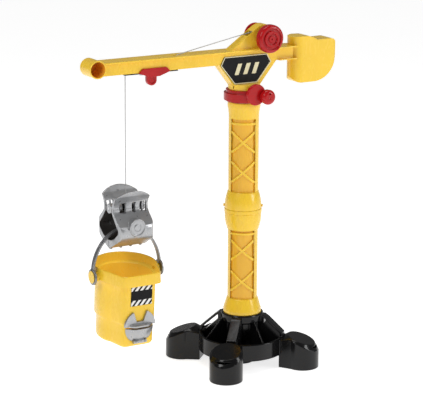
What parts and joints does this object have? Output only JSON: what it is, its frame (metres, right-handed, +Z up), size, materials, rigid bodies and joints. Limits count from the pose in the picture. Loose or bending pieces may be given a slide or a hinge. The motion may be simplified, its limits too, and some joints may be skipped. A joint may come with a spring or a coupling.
{
  "type": "toy tower crane",
  "caption": "Free-standing toy tower crane: footed base, panelled mast, slewing jib with hand-wound winch, sliding trolley, spring grab and a hanging bucket with a dump gate.",
  "frame": {"origin": "on the floor under the mast axis, the middle of the hub's bottom ring", "axes": "+Z up along the mast; the jib points along -X and the counterweight along +X; -Y is the side of the slewing crank"},
  "size_m": [0.4795, 0.2136, 0.6028],
  "materials": {
    "yellow_plastic": "satin moulded",
    "red_plastic": "semi-gloss moulded",
    "black_plastic": "gloss moulded",
    "label_black": "gloss foil",
    "silver_plastic": "silver pigmented, satin",
    "bail_grey": "satin",
    "pad_rubber": "matt",
    "steel": "zinc plated",
    "white_nylon": "satin",
    "line_cord": "braided",
    "ballast_iron": "as cast"
  },
  "bodies": {
    "base": {"base_frame": "black_plastic", "foot_pads": "pad_rubber", "base_screws": "steel", "mast_lower_front": "yellow_plastic", "mast_lower_rear": "yellow_plastic", "mast_upper_front": "yellow_plastic", "mast_upper_rear": "yellow_plastic", "mast_joint_ring": "yellow_plastic", "mast_clips": "yellow_plastic", "crown_gear": "white_nylon"},
    "head": {"slew_collar": "red_plastic", "slew_spindle": "white_nylon", "spindle_screw": "steel", "jib_shell_near": "yellow_plastic", "jib_shell_far": "yellow_plastic", "jib_tip_tube": "yellow_plastic", "shell_screws": "steel", "line_guide_pin": "steel", "label_near": "label_black", "label_far": "label_black", "counterweight_near": "yellow_plastic", "counterweight_far": "yellow_plastic", "ballast_block": "ballast_iron", "line_top": "line_cord"},
    "crank": {"crank_disc": "red_plastic", "crank_knob": "red_plastic", "crank_axle": "steel", "slew_pinion": "white_nylon"},
    "winch": {"winch_axle": "steel", "winch_drum": "white_nylon", "line_wraps": "line_cord", "winch_knob_near": "red_plastic", "winch_knob_far": "red_plastic"},
    "trolley": {"trolley_runner": "black_plastic", "trolley_saddle": "red_plastic", "trolley_screws": "steel", "trolley_pin": "steel", "line_hanging": "line_cord"},
    "grab": {"jaw_pin": "steel", "jaw_spring": "steel", "hinge_sleeves": "black_plastic", "line_knot": "line_cord"},
    "near_jaw": {"jaw_near": "silver_plastic"},
    "far_jaw": {"jaw_far": "silver_plastic"},
    "bail": {"bail": "bail_grey"},
    "bucket": {"bucket_shell": "yellow_plastic", "bail_studs": "yellow_plastic", "bucket_label": "label_black", "gate_bezel": "silver_plastic", "gate_pin": "silver_plastic"},
    "gate": {"gate_door": "silver_plastic"}
  },
  "joints": [
    {"name": "slew", "type": "hinge", "parent": "base", "child": "head", "pos_m": [0, 0, 0.47], "axis": [0, 0, 1], "continuous": true},
    {"name": "slew_crank", "type": "hinge", "parent": "head", "child": "crank", "pos_m": [0, -0.03, 0.4865], "axis": [0, 1, 0], "continuous": true},
    {"name": "winch_turn", "type": "hinge", "parent": "head", "child": "winch", "pos_m": [0.033, 0, 0.5785], "axis": [0, 1, 0], "range_deg": [0, 940]},
    {"name": "trolley_slide", "type": "slide", "parent": "head", "child": "trolley", "axis": [1, 0, 0], "range_m": [0, 0.065]},
    {"name": "hoist", "type": "slide", "parent": "trolley", "child": "grab", "axis": [0, 0, 1], "range_m": [0, 0.18], "deforming": ["line_hanging"]},
    {"name": "near_jaw_open", "type": "hinge", "parent": "grab", "child": "near_jaw", "pos_m": [-0.2295, 0, 0.311], "axis": [-1, 0, 0], "range_deg": [0, 22], "stiffness_Nm_per_rad": 0.1, "springref_deg": -20.05},
    {"name": "far_jaw_open", "type": "hinge", "parent": "grab", "child": "far_jaw", "pos_m": [-0.2295, 0, 0.311], "axis": [1, 0, 0], "range_deg": [0, 22], "stiffness_Nm_per_rad": 0.1, "springref_deg": -20.05},
    {"name": "bail_swing", "type": "hinge", "parent": "grab", "child": "bail", "pos_m": [-0.2295, 0, 0.275], "axis": [1, 0, 0], "range_deg": [-12, 12]},
    {"name": "bucket_tip", "type": "hinge", "parent": "bail", "child": "bucket", "pos_m": [-0.2295, 0, 0.1965], "axis": [1, 0, 0], "range_deg": [-30, 30]},
    {"name": "gate_open", "type": "hinge", "parent": "bucket", "child": "gate", "pos_m": [-0.2295, -0.04763, 0.08693], "axis": [1, 0, 0], "range_deg": [0, 70]}
  ],
  "couplings": [
    {"joint": "slew_crank", "follows": "slew", "ratio": 4},
    {"joint": "winch_turn", "follows": "hoist", "rad_per_m": 90.909},
    {"joint": "far_jaw_open", "follows": "near_jaw_open", "ratio": 1}
  ]
}
